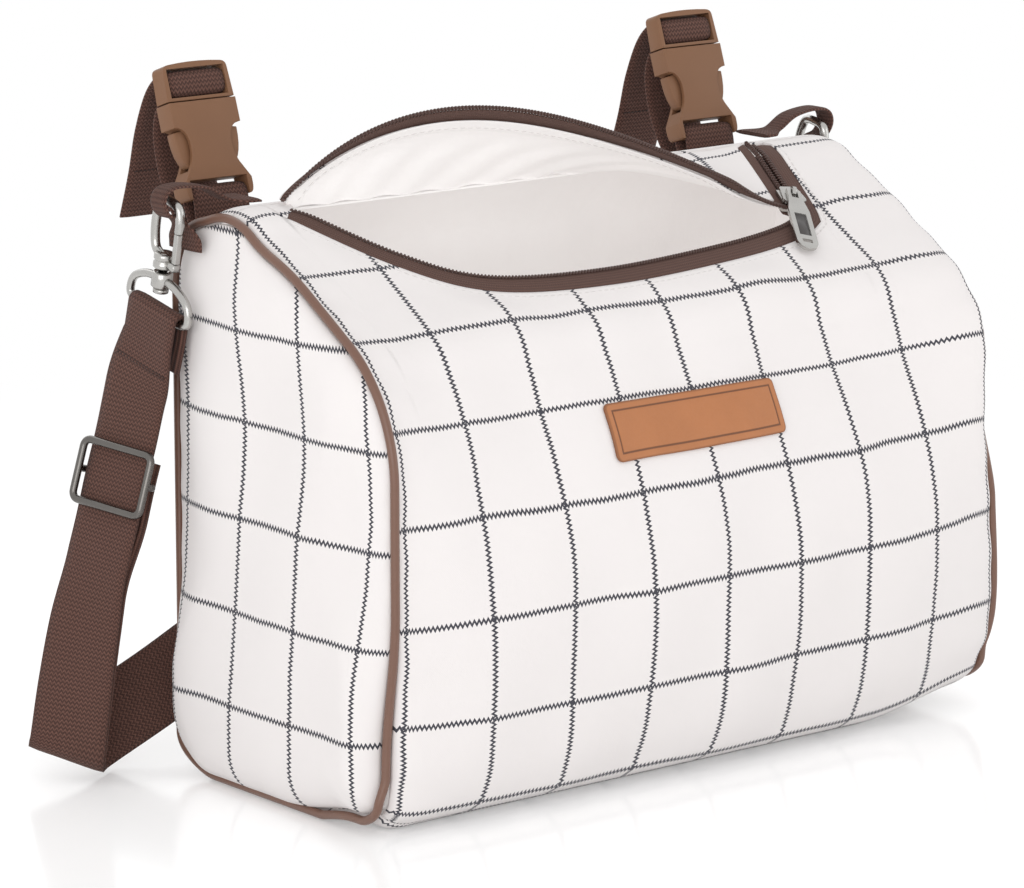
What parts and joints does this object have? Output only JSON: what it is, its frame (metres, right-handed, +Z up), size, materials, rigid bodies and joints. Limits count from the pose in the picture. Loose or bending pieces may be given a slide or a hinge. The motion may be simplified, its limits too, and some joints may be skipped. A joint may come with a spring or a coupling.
{
  "type": "clothes peg bag",
  "caption": "Soft boxy fabric peg bag with a curved zip lid on a slanted top, buckle straps that close round a clothesline and a clip-on shoulder strap.",
  "frame": {"origin": "middle of the base, on the surface that the bag stands on", "axes": "+X along the bag's length, towards the slider's end; -Y out of the front with the label; +Z up, from the base to the ridge"},
  "size_m": [0.3721, 0.1981, 0.265],
  "materials": {
    "cream_fabric": "cream woven fabric with a printed dark windowpane check",
    "lining_fabric": "smooth pale grey lining cloth",
    "piping": "brown corded piping",
    "label_leather": "tan leather patch, bare, with a pressed border",
    "zip_fabric": "brown woven zip tape",
    "zip_coil": "brown nylon coil",
    "zip_metal": "polished silver metal",
    "buckle_plastic": "brown moulded plastic, satin",
    "webbing": "dark brown woven webbing",
    "hook_metal": "polished silver metal",
    "slide_metal": "dark polished steel"
  },
  "bodies": {
    "bag": {"front_panel": "cream_fabric", "back_panel": "cream_fabric", "base_panel": "cream_fabric", "left_end_panel": "cream_fabric", "right_end_panel": "cream_fabric", "lining_sack": "lining_fabric", "left_piping": "piping", "right_piping": "piping", "label_patch": "label_leather", "front_zip_tape": "zip_fabric", "front_zip_coil": "zip_coil", "left_buckle_socket": "buckle_plastic", "left_buckle_plug": "buckle_plastic", "right_buckle_socket": "buckle_plastic", "right_buckle_plug": "buckle_plastic", "left_short_strap": "webbing", "left_hanging_strap": "webbing", "left_tab": "webbing", "right_short_strap": "webbing", "right_hanging_strap": "webbing", "right_tab": "webbing", "shoulder_strap": "webbing", "left_strap_eye": "hook_metal", "right_strap_eye": "hook_metal"},
    "lid": {"lid_flap": "cream_fabric", "lid_lining": "lining_fabric", "lid_zip_tape": "zip_fabric", "lid_zip_coil": "zip_coil"},
    "zip_slider": {"zip_slider": "zip_metal"},
    "zip_pull": {"zip_pull": "zip_metal"},
    "strap_slide": {"strap_slide": "slide_metal"},
    "left_buckle_outer_prong": {"left_buckle_outer_prong": "buckle_plastic"},
    "left_buckle_inner_prong": {"left_buckle_inner_prong": "buckle_plastic"},
    "left_hook": {"left_hook": "hook_metal"},
    "left_hook_gate": {"left_hook_gate": "hook_metal"},
    "right_buckle_outer_prong": {"right_buckle_outer_prong": "buckle_plastic"},
    "right_buckle_inner_prong": {"right_buckle_inner_prong": "buckle_plastic"},
    "right_hook": {"right_hook": "hook_metal"},
    "right_hook_gate": {"right_hook_gate": "hook_metal"}
  },
  "joints": [
    {"name": "zip_slider_travel", "type": "slide", "parent": "bag", "child": "zip_slider", "axis": [0.1927, 0.8349, 0.5156], "range_m": [0, 0.013]},
    {"name": "zip_pull_swing", "type": "hinge", "parent": "zip_slider", "child": "zip_pull", "pos_m": [0.09774, -0.00285, 0.20458], "axis": [-0.8979, 0.3745, 0.2313], "range_deg": [0, 150]},
    {"name": "lid_lift", "type": "hinge", "parent": "bag", "child": "lid", "pos_m": [0, 0.0328, 0.2169], "axis": [-1, 0, 0], "range_deg": [-25, 20], "deforming": ["lid_flap", "lid_lining", "lid_zip_tape", "lid_zip_coil"]},
    {"name": "strap_slide_travel", "type": "slide", "parent": "bag", "child": "strap_slide", "axis": [0.2611, -0.0243, 0.965], "range_m": [-0.01, 0.01], "deforming": ["shoulder_strap"]},
    {"name": "left_outer_prong_press", "type": "hinge", "parent": "bag", "child": "left_buckle_outer_prong", "pos_m": [-0.1306, 0.08973, 0.24844], "axis": [0, -0.9455, 0.3256], "range_deg": [0, 6], "stiffness_Nm_per_rad": 0.05},
    {"name": "left_inner_prong_press", "type": "hinge", "parent": "bag", "child": "left_buckle_inner_prong", "pos_m": [-0.1134, 0.08973, 0.24844], "axis": [0, 0.9455, -0.3256], "range_deg": [0, 6], "stiffness_Nm_per_rad": 0.05},
    {"name": "left_hook_swivel", "type": "hinge", "parent": "bag", "child": "left_hook", "pos_m": [-0.1602, 0.053, 0.2202], "axis": [0, -0.2079, 0.9781], "range_deg": [-12, 12]},
    {"name": "left_hook_gate_press", "type": "hinge", "parent": "left_hook", "child": "left_hook_gate", "pos_m": [-0.1602, 0.0518, 0.19745], "axis": [-1, 0, 0], "range_deg": [0, 20], "stiffness_Nm_per_rad": 0.02},
    {"name": "right_outer_prong_press", "type": "hinge", "parent": "bag", "child": "right_buckle_outer_prong", "pos_m": [0.1306, 0.08973, 0.24844], "axis": [0, 0.9455, -0.3256], "range_deg": [0, 6], "stiffness_Nm_per_rad": 0.05},
    {"name": "right_inner_prong_press", "type": "hinge", "parent": "bag", "child": "right_buckle_inner_prong", "pos_m": [0.1134, 0.08973, 0.24844], "axis": [0, -0.9455, 0.3256], "range_deg": [0, 6], "stiffness_Nm_per_rad": 0.05},
    {"name": "right_hook_swivel", "type": "hinge", "parent": "bag", "child": "right_hook", "pos_m": [0.1602, 0.053, 0.2202], "axis": [0, -0.2079, 0.9781], "range_deg": [-12, 12]},
    {"name": "right_hook_gate_press", "type": "hinge", "parent": "right_hook", "child": "right_hook_gate", "pos_m": [0.1602, 0.0518, 0.19745], "axis": [-1, 0, 0], "range_deg": [0, 20], "stiffness_Nm_per_rad": 0.02}
  ],
  "couplings": [
    {"joint": "left_inner_prong_press", "follows": "left_outer_prong_press", "ratio": 1},
    {"joint": "right_inner_prong_press", "follows": "right_outer_prong_press", "ratio": 1}
  ]
}
